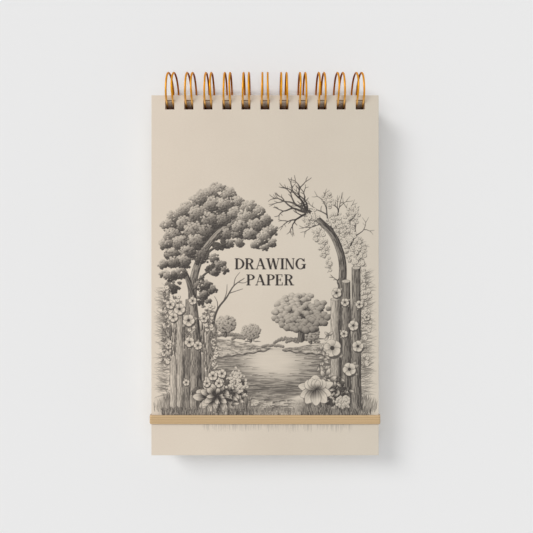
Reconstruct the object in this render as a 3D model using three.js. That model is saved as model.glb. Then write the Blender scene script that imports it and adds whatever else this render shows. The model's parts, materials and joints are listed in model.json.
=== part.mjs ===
// A wire-bound sketchbook, closed, lying on its back with an elastic band round its foot.
// Millimetres. The book is drawn in its own frame and then set down on the table:
//   x   across the covers
//   y   towards the binding, 0 on the axis of the wire rings
//   z   out through the front cover, 0 on the axis of the wire rings
// Every cover and leaf turns about that axis, so their holes ride round the wire.
import * as THREE from "three";

// Driving dimensions
const COVER_WIDTH = 151.5;
const COVER_LENGTH = 240;
const COVER_TOP = -4.6; // y of the edge beside the rings
const COVER_THICKNESS = 2;
const PRINT_THICKNESS = 0.3;
const LINER_THICKNESS = 0.2;
const GLUE_GAP = 0.03;
const STACK_HALF = 9.6; // the outer faces of the covers stand this far from the rings' axis

const LEAVES = 20; // each one is four sheets of 160 g/m2 drawing paper
const LEAF_THICKNESS = 0.645;
const LEAF_GAP = 0.03;
const LEAF_INSET = 1; // the covers stand proud of the paper on the three free sides

const LOOPS = 11;
const LOOP_PITCH = 12.7; // the trade's 2:1 pitch
const HOLE_WIDTH = 6;
const HOLE_LENGTH = 6.25;
const HOLE_MARGIN = 3.2; // from the edge beside the rings
const HOLE_DRIFT = 0.0002; // keeps any three corners of the row of holes out of line

const WIRE_RADIUS = 0.65;
const WIRE_SIDES = 6;
const RING_RADIUS = 13.2; // of the wire's centre line
const STRAND_STEPS = 24; // straight steps in one turn
const FRONT_SPREAD = 2.1; // half the distance between a loop's two strands, in the holes
const BACK_SPREAD = 1.8; // the same, outside the book
const BAR_ANGLE = 211; // degrees from +y: the bars between loops lie under the last leaf
const TIP_ANGLE = -142; // the closed end of each loop, in the back cover's hole
const CORNER_RADIUS = 0.9; // where a bar turns into a strand
const STUB_LENGTH = 1.6; // of the wire's two cut ends

const BAND_WIDTH = 6;
const BAND_THICKNESS = 1;
const BAND_CLEARANCE = 0.2;
const BAND_CORNER = 0.6; // inside radius
const BAND_FOOT = 21; // from the foot of the covers to the band's near edge

const COVER_FOOT = COVER_TOP - COVER_LENGTH;
const BAND_NEAR = COVER_FOOT + BAND_FOOT;
const DEGREE = Math.PI / 180;

const COLOURS = {
  print: { color: 0xd3c7b4, roughness: 0.75, metalness: 0 },
  board: { color: 0xb59c7a, roughness: 0.9, metalness: 0 },
  liner: { color: 0xe9e2d3, roughness: 0.85, metalness: 0 },
  paper: { color: 0xf3efe4, roughness: 0.9, metalness: 0 },
  wire: { color: 0xd09232, roughness: 0.3, metalness: 1 },
  elastic: { color: 0xc6a87d, roughness: 0.8, metalness: 0 },
};

const book = new THREE.Group();

function addPiece(name, geometry, look) {
  const mesh = new THREE.Mesh(geometry, new THREE.MeshStandardMaterial(COLOURS[look]));
  mesh.name = name;
  book.add(mesh);
}

// The middle of loop k across the book, from 0 on the left.
function loopX(k) {
  return (k - (LOOPS - 1) / 2) * LOOP_PITCH;
}

function addRectangle(path, left, right, low, high) {
  path.moveTo(left, low);
  path.lineTo(right, low);
  path.lineTo(right, high);
  path.lineTo(left, high);
  path.closePath();
  return path;
}

// A sheet with its row of punched holes, its free edges drawn in by `inset`. The holes drift
// down by a hair from left to right, so that the face's triangles keep every corner.
function punchedSheet(bottom, thickness, inset) {
  const half = COVER_WIDTH / 2 - inset;
  const outline = addRectangle(new THREE.Shape(), -half, half, COVER_FOOT + inset, COVER_TOP);
  for (let k = 0; k < LOOPS; k++) {
    const left = loopX(k) - HOLE_WIDTH / 2;
    const holeTop = COVER_TOP - HOLE_MARGIN - k * k * HOLE_DRIFT;
    outline.holes.push(
      addRectangle(new THREE.Path(), left, left + HOLE_WIDTH, holeTop - HOLE_LENGTH, holeTop),
    );
  }
  const sheet = new THREE.ExtrudeGeometry(outline, { depth: thickness, bevelEnabled: false });
  return sheet.translate(0, 0, bottom);
}

// One cover: a printed outer sheet and a plain liner on each side of a board.
// `outward` is 1 for the front cover and -1 for the back cover.
function addCover(name, outward) {
  const boardThickness = COVER_THICKNESS - PRINT_THICKNESS - LINER_THICKNESS - 2 * GLUE_GAP;
  const layers = [
    ["liner", "liner", LINER_THICKNESS],
    ["board", "board", boardThickness],
    ["print", "print", PRINT_THICKNESS],
  ];
  let inner = STACK_HALF - COVER_THICKNESS;
  for (const [layer, look, thickness] of layers) {
    const bottom = outward > 0 ? inner : -inner - thickness;
    addPiece(`${name}_${layer}`, punchedSheet(bottom, thickness, 0), look);
    inner += thickness + GLUE_GAP;
  }
}

function addLeaves() {
  let top = STACK_HALF - COVER_THICKNESS - LEAF_GAP;
  for (let n = 1; n <= LEAVES; n++) {
    const number = String(n).padStart(2, "0");
    const leaf = punchedSheet(top - LEAF_THICKNESS, LEAF_THICKNESS, LEAF_INSET);
    addPiece(`leaf_${number}`, leaf, "paper");
    top -= LEAF_THICKNESS + LEAF_GAP;
  }
}

// A point of the wire, from its place across the book and its angle round the rings' axis.
// The vertices stand a little outside the true circle, so that the steps run half inside it.
const STEP_ANGLE = ((BAR_ANGLE - TIP_ANGLE) * DEGREE) / STRAND_STEPS;
const VERTEX_RADIUS = (2 * RING_RADIUS) / (1 + Math.cos(STEP_ANGLE / 2));
function onRing(x, degrees) {
  const angle = degrees * DEGREE;
  return new THREE.Vector3(x, VERTEX_RADIUS * Math.cos(angle), VERTEX_RADIUS * Math.sin(angle));
}

// Half the distance between a loop's strands: wide in the holes, narrower outside the book.
function spread(degrees) {
  const inside = THREE.MathUtils.smoothstep(degrees, 70, 125);
  return BACK_SPREAD + (FRONT_SPREAD - BACK_SPREAD) * inside;
}

// The left half of a loop from the bar below the last leaf to the closed end, as [x, degrees]
// with x counted from the loop's middle. The right half is its mirror image.
function halfLoop() {
  const perDegree = RING_RADIUS * DEGREE;
  const places = [];
  for (const turn of [0, 45, 90]) {
    const across = CORNER_RADIUS * (1 - Math.sin(turn * DEGREE));
    const along = (CORNER_RADIUS * (1 - Math.cos(turn * DEGREE))) / perDegree;
    places.push([-FRONT_SPREAD - across, BAR_ANGLE - along]);
  }
  const strandEnd = TIP_ANGLE + BACK_SPREAD / perDegree;
  const strandStart = places[2][1];
  for (let step = 1; step < STRAND_STEPS; step++) {
    const degrees = strandStart + ((strandEnd - strandStart) * step) / STRAND_STEPS;
    places.push([-spread(degrees), degrees]);
  }
  for (const turn of [0, 30, 60]) {
    const drop = (BACK_SPREAD * Math.sin(turn * DEGREE)) / perDegree;
    places.push([-BACK_SPREAD * Math.cos(turn * DEGREE), strandEnd - drop]);
  }
  return places;
}

// The whole binding is one wire: out along a loop, round its closed end, back, on to the next.
function wirePoints() {
  const half = halfLoop();
  const mirrored = half.map(([x, degrees]) => [-x, degrees]).reverse();
  const points = [];
  for (let k = 0; k < LOOPS; k++) {
    for (const [x, degrees] of [...half, [0, TIP_ANGLE], ...mirrored]) {
      points.push(onRing(loopX(k) + x, degrees));
    }
  }
  const stub = new THREE.Vector3(STUB_LENGTH, 0, 0);
  points.unshift(points[0].clone().sub(stub));
  points.push(points[points.length - 1].clone().add(stub));
  return points;
}

// A path that an extrusion follows vertex by vertex, turning half-way at each one.
class VertexPath extends THREE.Curve {
  constructor(points) {
    super();
    this.points = points;
  }
  getUtoTmapping(u) {
    return u;
  }
  getPoint(t, target = new THREE.Vector3()) {
    return target.copy(this.points[Math.round(t * (this.points.length - 1))]);
  }
  getTangent(t, target = new THREE.Vector3()) {
    const last = this.points.length - 1;
    const here = Math.round(t * last);
    const point = this.points[here];
    const before = this.points[Math.max(here - 1, 0)];
    const after = this.points[Math.min(here + 1, last)];
    const arriving = point.clone().sub(before).normalize();
    const leaving = after.clone().sub(point).normalize();
    return target.copy(arriving).add(leaving).normalize();
  }
}

function addWire() {
  const section = new THREE.Shape();
  for (let side = 0; side < WIRE_SIDES; side++) {
    const angle = (side * 2 * Math.PI) / WIRE_SIDES;
    const [x, y] = [WIRE_RADIUS * Math.cos(angle), WIRE_RADIUS * Math.sin(angle)];
    if (side === 0) section.moveTo(x, y);
    else section.lineTo(x, y);
  }
  section.closePath();
  const points = wirePoints();
  const path = { extrudePath: new VertexPath(points), steps: points.length - 1 };
  addPiece("wire_binding", new THREE.ExtrudeGeometry(section, path), "wire");
}

// The band's outline as it goes round the closed book, `out` from the covers' faces.
function roundedLoop(path, out, corner) {
  const x = COVER_WIDTH / 2 + out - corner;
  const z = STACK_HALF + out - corner;
  path.absarc(x, z, corner, 0, Math.PI / 2);
  path.absarc(-x, z, corner, Math.PI / 2, Math.PI);
  path.absarc(-x, -z, corner, Math.PI, 1.5 * Math.PI);
  path.absarc(x, -z, corner, 1.5 * Math.PI, 2 * Math.PI);
  path.closePath();
  return path;
}

function addBand() {
  const outer = BAND_CLEARANCE + BAND_THICKNESS;
  const outline = roundedLoop(new THREE.Shape(), outer, BAND_CORNER + BAND_THICKNESS);
  outline.holes.push(roundedLoop(new THREE.Path(), BAND_CLEARANCE, BAND_CORNER));
  const cut = { depth: BAND_WIDTH, bevelEnabled: false, curveSegments: 4 };
  const band = new THREE.ExtrudeGeometry(outline, cut);
  band.rotateX(Math.PI / 2).translate(0, BAND_NEAR + BAND_WIDTH, 0);
  addPiece("elastic_band", band, "elastic");
}

addCover("front_cover", 1);
addCover("back_cover", -1);
addLeaves();
addWire();
addBand();

// Set down on a table the book lies on its rings and on the band, the binding end raised,
// with the middle of its footprint at the origin.
const bandFace = STACK_HALF + BAND_CLEARANCE + BAND_THICKNESS;
const ringFace = VERTEX_RADIUS + WIRE_RADIUS;
const reach = Math.hypot(BAND_NEAR, bandFace);
book.rotation.x = Math.asin(ringFace / reach) - Math.asin(bandFace / reach);
book.updateMatrixWorld(true);
const box = new THREE.Box3().setFromObject(book, true);
const middle = box.getCenter(new THREE.Vector3());
book.position.set(-middle.x, -middle.y, -box.min.z);

const sketchbook = new THREE.Group();
sketchbook.add(book);

export default sketchbook;
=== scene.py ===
# A wire-bound sketchbook seen from straight above: its covers, leaves, wire, elastic band,
# and the pencil drawing printed on its front cover.
import json
import math
import random

import bpy
import numpy as np
from mathutils import Matrix, Vector


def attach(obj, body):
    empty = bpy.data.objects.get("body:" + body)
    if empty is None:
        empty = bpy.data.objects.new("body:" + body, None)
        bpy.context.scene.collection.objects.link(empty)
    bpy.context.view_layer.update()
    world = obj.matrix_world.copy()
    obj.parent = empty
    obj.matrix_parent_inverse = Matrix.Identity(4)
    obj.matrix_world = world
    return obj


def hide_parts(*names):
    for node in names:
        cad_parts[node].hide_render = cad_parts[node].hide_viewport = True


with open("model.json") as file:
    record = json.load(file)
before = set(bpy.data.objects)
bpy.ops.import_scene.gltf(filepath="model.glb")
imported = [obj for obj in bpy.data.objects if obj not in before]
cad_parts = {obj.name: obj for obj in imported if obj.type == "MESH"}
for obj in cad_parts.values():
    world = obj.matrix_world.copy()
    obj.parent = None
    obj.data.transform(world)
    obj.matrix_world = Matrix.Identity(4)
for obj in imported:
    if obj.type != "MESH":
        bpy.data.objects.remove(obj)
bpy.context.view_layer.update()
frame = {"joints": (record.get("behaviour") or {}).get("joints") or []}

# -- The book's own frame, in millimetres --------------------------------------------------------
# x runs across, y towards the binding and z out of the front cover, from 0 on the axis of the
# rings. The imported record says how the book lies.
JOINTS = {joint["name"]: joint for joint in frame["joints"]}
MM = 0.001
TURN = 2 * math.pi


def book_matrix():
    centre = Vector(JOINTS["front_cover_turn"]["pos_m"])
    across = Vector((1, 0, 0))
    along = -Vector(JOINTS["elastic_band_slide"]["axis"]).normalized()
    out = across.cross(along)
    turn = Matrix((across, along, out)).transposed().to_4x4()
    return Matrix.Translation(centre) @ turn @ Matrix.Scale(MM, 4)


BOOK = book_matrix()

COVER_WIDTH, COVER_LENGTH, COVER_TOP = 151.5, 240.0, -4.6
COVER_FOOT = COVER_TOP - COVER_LENGTH
COVER_HALF = COVER_WIDTH / 2
STACK_HALF, COVER_THICKNESS = 9.6, 2.0
PRINT_THICKNESS, LINER_THICKNESS = 0.3, 0.2
LOOPS, LOOP_PITCH = 11, 12.7
HOLE_WIDTH, HOLE_LENGTH, HOLE_MARGIN = 6.0, 6.25, 3.2
HOLE_TOP = COVER_TOP - HOLE_MARGIN
WIRE_RADIUS, WIRE_SIDES, RING_RADIUS = 0.65, 12, 13.2
FRONT_SPREAD, BACK_SPREAD = 2.1, 1.8
BAR_ANGLE, TIP_ANGLE, CORNER_RADIUS, STUB_LENGTH = 211.0, -142.0, 0.9, 1.6
BAND_WIDTH, BAND_THICKNESS, BAND_CLEARANCE, BAND_CORNER = 6.0, 1.0, 0.2, 0.6
BAND_NEAR, BAND_RIBS = COVER_FOOT + 21, 4
LEAVES, SHEETS_PER_LEAF = 20, 4
LEAF_PITCH, LEAF_GAP, LEAF_INSET = 0.675, 0.03, 1.0


# -- Pieces ---------------------------------------------------------------------------------------
def placed(name, data):
    """An object in the scene from a mesh, lamp or camera."""
    made = bpy.data.objects.new(name, data)
    bpy.context.scene.collection.objects.link(made)
    return made


def new_piece(name, points, faces, materials, smooth=False, face_slots=None):
    """A mesh object from points in the book's frame."""
    mesh = bpy.data.meshes.new(name)
    mesh.from_pydata([BOOK @ Vector(p) for p in points], [], faces)
    for material in materials:
        mesh.materials.append(material)
    if face_slots is not None:
        mesh.polygons.foreach_set("material_index", face_slots)
    if smooth:
        mesh.polygons.foreach_set("use_smooth", [True] * len(mesh.polygons))
    mesh.validate()
    mesh.update()
    return placed(name, mesh)


def belongs(piece, body, slot, *nodes):
    """Attaches a piece to the body it moves with and hides the CAD nodes it stands for; the slot
    argument is not used.
    """
    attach(piece, body)
    if nodes:
        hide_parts(*nodes)


def add_bevel(piece, width_mm, segments):
    bevel = piece.modifiers.new("edges", "BEVEL")
    bevel.width = width_mm * MM
    bevel.segments = segments
    bevel.limit_method = "ANGLE"
    bevel.angle_limit = math.radians(40)


def loop_x(k):
    """The middle of loop k across the book, and of its hole."""
    return (k - (LOOPS - 1) / 2) * LOOP_PITCH


class Solid:
    """Points and faces of one piece, in the book's frame, with a material slot for each face."""

    def __init__(self):
        self.points, self.faces, self.slots = [], [], []

    def punched_plate(self, left, right, foot, top, low, high, hang=0.0, sag=0.0):
        """A plate with the binding's row of holes, `hang` below their place in the covers, and
        its foot lowered by `sag`. Its two faces are in slot 0, the holes' walls in slot 1 and its
        edges in slot 2."""
        xs = [left]
        for k in range(LOOPS):
            xs += [loop_x(k) - HOLE_WIDTH / 2, loop_x(k) + HOLE_WIDTH / 2]
        xs.append(right)
        ys = [foot, HOLE_TOP - HOLE_LENGTH - hang, HOLE_TOP - hang, top]
        columns, rows = len(xs), len(ys)
        base = len(self.points)
        for z in (low, high):
            self.points += [(x, y, z - sag * (y == foot)) for y in ys for x in xs]

        def corner(layer, row, column):
            return base + layer * columns * rows + row * columns + column

        def solid(row, column):
            inside = 0 <= row < rows - 1 and 0 <= column < columns - 1
            return inside and not (row == 1 and column % 2 == 1)

        for row in range(rows - 1):
            for column in range(columns - 1):
                if not solid(row, column):
                    continue
                beside, above = column + 1, row + 1
                around = [(row, column), (row, beside), (above, beside), (above, column)]
                self.add([corner(1, *c) for c in around], 0)
                self.add([corner(0, *c) for c in reversed(around)], 0)
                beyond = [(row - 1, column), (row, beside), (above, column), (row, column - 1)]
                for side, next_cell in enumerate(beyond):
                    if solid(*next_cell):
                        continue
                    a, b = around[side], around[(side + 1) % 4]
                    in_hole = 0 <= next_cell[0] < rows - 1 and 0 <= next_cell[1] < columns - 1
                    wall = [corner(0, *a), corner(0, *b), corner(1, *b), corner(1, *a)]
                    self.add(wall, 1 if in_hole else 2)

    def add(self, face, slot):
        self.faces.append(face)
        self.slots.append(slot)

    def piece(self, name, materials):
        return new_piece(name, self.points, self.faces, materials, face_slots=self.slots)


# -- Materials ------------------------------------------------------------------------------------
class Nodes:
    """Builds one material's nodes. Their coordinates are the object's own, in metres."""

    def __init__(self, name):
        self.material = bpy.data.materials.new(name)
        self.material.use_nodes = True
        self.tree = self.material.node_tree
        self.tree.nodes.clear()
        self.shader = self.node("ShaderNodeBsdfPrincipled")
        self.node("ShaderNodeOutputMaterial", {"Surface": self.shader.outputs["BSDF"]})
        self.place = self.node("ShaderNodeTexCoord").outputs["Object"]

    def give(self, socket, value):
        """Sets an input to a number, a place or a colour, or links it to another node's output."""
        if isinstance(value, bpy.types.NodeSocket):
            self.tree.links.new(value, socket)
        else:
            socket.default_value = (*value, 1) if socket.type == "RGBA" else value

    def node(self, kind, inputs=None, **settings):
        made = self.tree.nodes.new(kind)
        for key, value in settings.items():
            setattr(made, key, value)
        for key, value in (inputs or {}).items():
            self.give(made.inputs[key], value)
        return made

    def axis(self, index):
        """The object's own x, y or z."""
        return self.node("ShaderNodeSeparateXYZ", {"Vector": self.place}).outputs[index]

    def stretched(self, scale):
        made = self.node("ShaderNodeMapping", {"Vector": self.place, "Scale": scale})
        return made.outputs["Vector"]

    def noise(self, scale, detail=3.0, roughness=0.5, vector=None):
        inputs = {"Vector": vector or self.place, "Scale": scale}
        inputs |= {"Detail": detail, "Roughness": roughness}
        return self.node("ShaderNodeTexNoise", inputs).outputs["Fac"]

    def wave(self, direction, scale, **others):
        inputs = {"Vector": self.place, "Scale": scale}
        inputs |= {key.replace("_", " "): value for key, value in others.items()}
        made = self.node("ShaderNodeTexWave", inputs, wave_type="BANDS", bands_direction=direction)
        return made.outputs["Fac"]

    def ramp(self, value, stops):
        made = self.node("ShaderNodeValToRGB", {"Fac": value})
        elements = made.color_ramp.elements
        while len(elements) < len(stops):
            elements.new(0.5)
        for element, (position, colour) in zip(elements, stops):
            element.position = position
            element.color = (*colour, 1)
        return made.outputs["Color"]

    def range(self, value, low, high, from_low=0.0, from_high=1.0):
        ends = {"From Min": from_low, "From Max": from_high, "To Min": low, "To Max": high}
        return self.node("ShaderNodeMapRange", {"Value": value, **ends}).outputs["Result"]

    def math(self, operation, a, b):
        return self.node("ShaderNodeMath", {0: a, 1: b}, operation=operation).outputs["Value"]

    def mix(self, factor, a, b, blend="MIX"):
        inputs = {0: factor, 6: a, 7: b}
        return self.node("ShaderNodeMix", inputs, data_type="RGBA", blend_type=blend).outputs[2]

    def bump(self, height, strength, distance):
        inputs = {"Height": height, "Strength": strength, "Distance": distance}
        made = self.node("ShaderNodeBump", inputs)
        self.give(self.shader.inputs["Normal"], made.outputs["Normal"])

    def finish(self, colour, roughness, **others):
        """The material. The others are more inputs of its shader, with _ for each space."""
        for key, value in {"Base Color": colour, "Roughness": roughness, **others}.items():
            self.give(self.shader.inputs[key.replace("_", " ")], value)
        return self.material


def linear(red, green, blue):
    """A colour given as it looks on a screen, 0 to 255, as light."""
    return tuple(((c / 255 + 0.055) / 1.055) ** 2.4 for c in (red, green, blue))


PAPER_LIGHT, PAPER_DARK = linear(228, 215, 198), linear(218, 204, 187)
INK = linear(44, 38, 36)


def cover_paper(n):
    """The covers' uncoated paper: a faint cloudiness, fine fibres and a slightly rough face,
    with painted shade that darkens it a little towards the right.
    """
    clouds = n.noise(14, 3, 0.55)
    fibres = n.noise(900, 4, 0.6, n.stretched((1.0, 2.4, 1.0)))
    flecks = n.noise(2600, 2, 0.5)
    colour = n.mix(n.range(clouds, 0.2, 0.8, 0.3, 0.7), PAPER_LIGHT, PAPER_DARK)
    # painted shade: the paper darkens by about a tenth from its left edge to its right, away from
    # the light
    painted_shade_across = n.range(n.axis(0), 0.0, 1.0, -COVER_HALF * MM, COVER_HALF * MM)
    colour = n.mix(painted_shade_across, colour, n.mix(1.0, colour, (0.895, 0.925, 0.935), "MULTIPLY"))
    colour = n.mix(n.range(fibres, 0.0, 0.10, 0.35, 0.75), colour, linear(176, 158, 136))
    grain = n.math("ADD", n.math("MULTIPLY", fibres, 0.7), n.math("MULTIPLY", flecks, 0.3))
    return colour, grain


def print_material(name, inked):
    n = Nodes(name)
    colour, grain = cover_paper(n)
    if inked:
        ink = n.node("ShaderNodeAttribute", attribute_name="ink").outputs["Fac"]
        colour = n.mix(ink, colour, INK)
    n.bump(grain, 0.25, 0.00006)
    return n.finish(colour, n.range(grain, 0.62, 0.8), Specular_IOR_Level=0.35)


def board_material():
    """The covers' grey-brown board where it is cut: thin pressed layers."""
    n = Nodes("board_edge")
    layers = n.noise(2400, 4, 0.6, n.stretched((0.05, 0.05, 1.0)))
    specks = n.noise(1800, 3)
    colour = n.ramp(layers, [(0.3, linear(140, 116, 90)), (0.7, linear(186, 162, 131))])
    colour = n.mix(n.range(specks, 0, 0.35, 0.5, 0.8), colour, linear(112, 92, 72))
    n.bump(n.math("ADD", layers, specks), 0.5, 0.00012)
    return n.finish(colour, 0.92)


def hole_material(name, dark, light):
    """The burnished wall of a punched hole, in layers."""
    n = Nodes(name)
    layers = n.noise(3000, 3, 0.6, n.stretched((0.06, 0.06, 1.0)))
    colour = n.ramp(layers, [(0.3, dark), (0.7, light)])
    n.bump(layers, 0.6, 0.0001)
    return n.finish(colour, 0.9)


def liner_material():
    n = Nodes("liner_paper")
    clouds, fibres = n.noise(30, 3), n.noise(1400, 4, 0.6)
    colour = n.mix(clouds, linear(233, 224, 208), linear(226, 216, 198))
    colour = n.mix(n.range(fibres, 0, 0.15, 0.4, 0.8), colour, linear(196, 180, 156))
    n.bump(fibres, 0.25, 0.00006)
    return n.finish(colour, 0.85)


def leaf_material():
    """Drawing paper with a fine tooth."""
    n = Nodes("drawing_paper")
    clouds, tooth = n.noise(24, 2), n.noise(1700, 3, 0.55)
    colour = n.mix(clouds, linear(243, 238, 226), linear(236, 230, 215))
    colour = n.mix(n.range(tooth, 0, 0.12, 0.45, 0.8), colour, linear(206, 197, 178))
    n.bump(tooth, 0.35, 0.0001)
    return n.finish(colour, 0.9)


def leaf_edge_material():
    """The cut edges of the sheets, a little darker where the guillotine pressed them."""
    n = Nodes("cut_edges")
    streaks = n.noise(5200, 2, 0.5, n.stretched((0.12, 0.12, 1.0)))
    colour = n.ramp(streaks, [(0.35, linear(219, 206, 184)), (0.65, linear(247, 240, 226))])
    return n.finish(colour, 0.9)


# Painted shade: what the wire's colour is multiplied by, from the rings' undersides to their tops.
WIRE_PAINTED_SHADE = [
    (0.0, (0.60, 0.46, 0.30)),
    (0.20, (0.50, 0.34, 0.16)),
    (0.40, (0.30, 0.15, 0.05)),
    (0.62, (0.36, 0.20, 0.10)),
    (0.80, (1.0, 1.0, 1.0)),
]


def wire_material():
    """Gold-coloured lacquer on drawn steel wire, with a painted highlight where the strands go into
    the holes, and painted shade under the rings and inside the stack."""
    n = Nodes("gold_wire")
    drawn, blotches = n.noise(2600, 3, 0.6), n.noise(260, 3)
    colour = n.mix(blotches, (0.80, 0.37, 0.022), (0.66, 0.27, 0.012))
    _, along, height = JOINTS["front_cover_turn"]["pos_m"]
    # painted highlight: the strands turn a paler gold where they go into the holes
    painted_highlight = n.range(n.axis(1), 0.8, 0.0, along - 8.8 * MM, along - 6.2 * MM)
    colour = n.mix(painted_highlight, colour, (1.0, 0.60, 0.20))
    # painted shade: the wire darkens from the rings' tops down to a deep brown just below their
    # middle
    painted_underside_shade = n.ramp(n.range(n.axis(2), 0.0, 1.0, height - 14 * MM, height + 14 * MM), WIRE_PAINTED_SHADE)
    colour = n.mix(1.0, colour, painted_underside_shade, "MULTIPLY")
    # painted shade: past 9.8 mm from the rings' axis towards the foot, the strands down in the holes
    # turn nearly black
    inside = n.range(n.axis(1), 1.0, 0.0, along - 12.4 * MM, along - 9.8 * MM)
    colour = n.mix(inside, colour, (0.07, 0.026, 0.004))
    n.bump(drawn, 0.12, 0.00003)
    shine = {"Metallic": 0.6, "Specular_Tint": (0.80, 0.42, 0.10)}
    return n.finish(colour, n.range(drawn, 0.28, 0.42), **shine)


def elastic_material():
    """Covered rubber threads run along the band, with a fine thread wound across them."""
    n = Nodes("elastic_weave")
    winding = n.wave("X", 620, Distortion=1.2, Detail=2)
    fuzz = n.noise(3200, 3)
    colour = n.mix(fuzz, linear(216, 187, 145), linear(194, 163, 120))
    colour = n.mix(n.range(winding, 0.0, 0.20), colour, linear(164, 132, 90))
    # a wave of scale s repeats every turn / 20 s
    scale = TURN / 20 / (BAND_WIDTH / BAND_RIBS * MM)
    near = BOOK @ Vector((0, BAND_NEAR, STACK_HALF + BAND_CLEARANCE + BAND_THICKNESS))
    # painted shade: darker stripes in the grooves between the band's ribs
    painted_groove_shade = n.wave("Y", scale, Phase_Offset=-20 * scale * near.y)
    colour = n.mix(n.range(painted_groove_shade, 0.55, 0.0, 0.0, 0.4), colour, linear(168, 134, 92))
    n.bump(n.math("ADD", winding, fuzz), 0.35, 0.0001)
    return n.finish(colour, 0.82, Sheen_Weight=0.25)


PRINT = print_material("cover_print", False)
INKED = print_material("printed_drawing", True)
BOARD, LINER = board_material(), liner_material()
HOLE = hole_material("punched_board", linear(168, 138, 112), linear(216, 188, 160))
LEAF_HOLE = hole_material("punched_paper", linear(232, 196, 172), linear(250, 226, 208))
LEAF, LEAF_EDGE = leaf_material(), leaf_edge_material()
WIRE, ELASTIC = wire_material(), elastic_material()


# -- Covers and leaves ----------------------------------------------------------------------------
BOARD_INSET = 0.08  # the sheets glued to a board lap over its edges by a hair
PRINT_BEVEL = 0.12


def add_covers():
    """Each cover is a printed sheet and a liner glued to a board."""
    under_print = COVER_THICKNESS - PRINT_THICKNESS
    layers = [
        ("liner", 0.0, LINER_THICKNESS, (LINER, HOLE, LINER)),
        ("board", LINER_THICKNESS, under_print, (BOARD, HOLE, BOARD)),
        ("print", under_print, COVER_THICKNESS, (PRINT, HOLE, PRINT)),
    ]
    for body, outward in (("front_cover", 1), ("back_cover", -1)):
        for layer, inner, outer, materials in layers:
            ends = sorted(outward * (STACK_HALF - COVER_THICKNESS + h) for h in (inner, outer))
            inset = BOARD_INSET if layer == "board" else 0.0
            plate = Solid()
            plate.punched_plate(
                -COVER_HALF + inset, COVER_HALF - inset,
                COVER_FOOT + inset, COVER_TOP - inset, *ends,
            )
            piece = plate.piece(f"{body}_{layer}_sheet", materials)
            if layer == "print":
                add_bevel(piece, PRINT_BEVEL, 2)
            belongs(piece, body, f"cover_{layer}", f"{body}_{layer}")


HOLE_HANG = 2.0  # how far the middle sheets' holes hang down, following the rings' curve
LEAF_SAG = 1.75  # the wire's bars hold the stack off the back cover; at the foot it lies down
SHEET_GAP = 0.012
SHEET_DRIFT = 0.16  # how far a sheet's edges may stand out of line, either way


def add_leaves():
    """Each leaf body carries four sheets, a hair out of line with each other."""
    scatter = random.Random(11)
    stack_top = STACK_HALF - COVER_THICKNESS
    top = stack_top - LEAF_GAP
    pitch = LEAF_PITCH / SHEETS_PER_LEAF
    for n in range(1, LEAVES + 1):
        stack = Solid()
        for sheet in range(SHEETS_PER_LEAF):
            high = top - sheet * pitch
            left, right, foot = (scatter.uniform(-SHEET_DRIFT, SHEET_DRIFT) for _ in range(3))
            stack.punched_plate(
                -COVER_HALF + LEAF_INSET + left, COVER_HALF - LEAF_INSET + right,
                COVER_FOOT + LEAF_INSET + foot, COVER_TOP, high - pitch + SHEET_GAP, high,
                hang=HOLE_HANG * (1 - (high / STACK_HALF) ** 2),
                sag=LEAF_SAG * (1 - high / stack_top) / 2,
            )
        leaf = f"leaf_{n:02d}"
        piece = stack.piece(f"{leaf}_sheets", (LEAF, LEAF_HOLE, LEAF_EDGE))
        belongs(piece, leaf, "drawing_paper", leaf)
        top -= LEAF_PITCH


# -- The drawing on the front cover: an arch of trees over a pond, made by code alone ------------
def fade(value, low, high):
    """0 below low, 1 above high, smooth between them."""
    t = np.clip((value - low) / (high - low), 0, 1)
    return t * t * (3 - 2 * t)


def clamp(value):
    return min(max(value, 0), 1)


def smooth_path(points, steps):
    """A Catmull-Rom curve through points."""
    def between(a, b, c, d, t):
        square, cube = 2 * a - 5 * b + 4 * c - d, 3 * b - a - 3 * c + d
        return 0.5 * (2 * b + (c - a) * t + square * t * t + cube * t**3)

    ends = [points[0], *points, points[-1]]
    fine = []
    for i in range(len(points) - 1):
        for t in (s / steps for s in range(steps)):
            fine.append(tuple(between(*four, t) for four in zip(*ends[i : i + 4])))
    return [*fine, tuple(points[-1])]


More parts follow.
